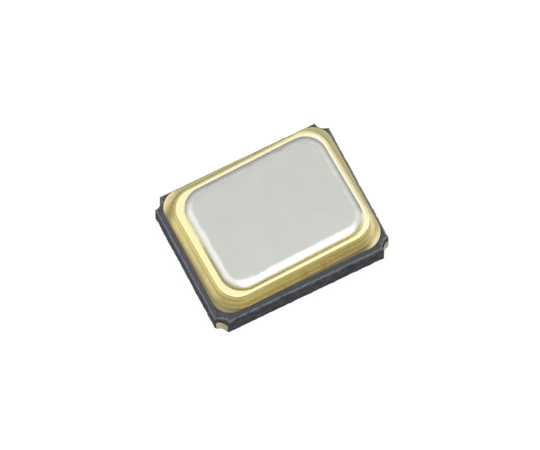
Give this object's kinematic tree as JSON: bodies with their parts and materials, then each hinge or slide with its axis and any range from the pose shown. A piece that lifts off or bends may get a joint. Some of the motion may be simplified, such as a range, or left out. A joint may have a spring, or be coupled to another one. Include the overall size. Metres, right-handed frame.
{
  "type": "crystal oscillator",
  "caption": "surface-mount crystal oscillator: black ceramic package with gold corner terminals, brazed seal ring and seam-welded metal lid over a quartz blank and its circuit",
  "frame": {"origin": "middle of the footprint, on the plane of the four solder lands", "axes": "+X along the long side, +Y along the short side, +Z away from the circuit board; terminal 1 is at the corner -X -Y and the numbers run anticlockwise seen from above"},
  "size_m": [0.0032, 0.0024, 0.001],
  "materials": {
    "black_ceramic": "matt, fired black alumina with a fine grain",
    "gold_plating": "satin gold plating over nickel",
    "gold_wire": "bright drawn gold wire",
    "nickel_plate": "satin nickel plating, bright where the welding rollers ran",
    "silicon": "polished silicon",
    "aluminium_pads": "sputtered aluminium",
    "silver_adhesive": "cured silver-filled adhesive",
    "quartz": "lapped and etched quartz",
    "silver_film": "evaporated metal film"
  },
  "bodies": {
    "root": {"ceramic_base": "black_ceramic", "terminal_enable": "gold_plating", "terminal_ground": "gold_plating", "terminal_output": "gold_plating", "terminal_supply": "gold_plating", "crystal_lead_a": "gold_plating", "crystal_lead_b": "gold_plating", "die_pad": "gold_plating", "die_attach": "silver_adhesive", "ic_die": "silicon", "die_bond_pads": "aluminium_pads", "wire_enable": "gold_wire", "wire_ground": "gold_wire", "wire_output": "gold_wire", "wire_supply": "gold_wire", "wire_crystal_a": "gold_wire", "wire_crystal_b": "gold_wire", "adhesive_a": "silver_adhesive", "adhesive_b": "silver_adhesive", "quartz_blank": "quartz", "electrode_upper": "silver_film", "electrode_lower": "silver_film", "seal_metallisation": "gold_plating", "braze_fillet": "gold_plating", "seam_ring": "gold_plating", "lid": "nickel_plate"}
  },
  "joints": []
}
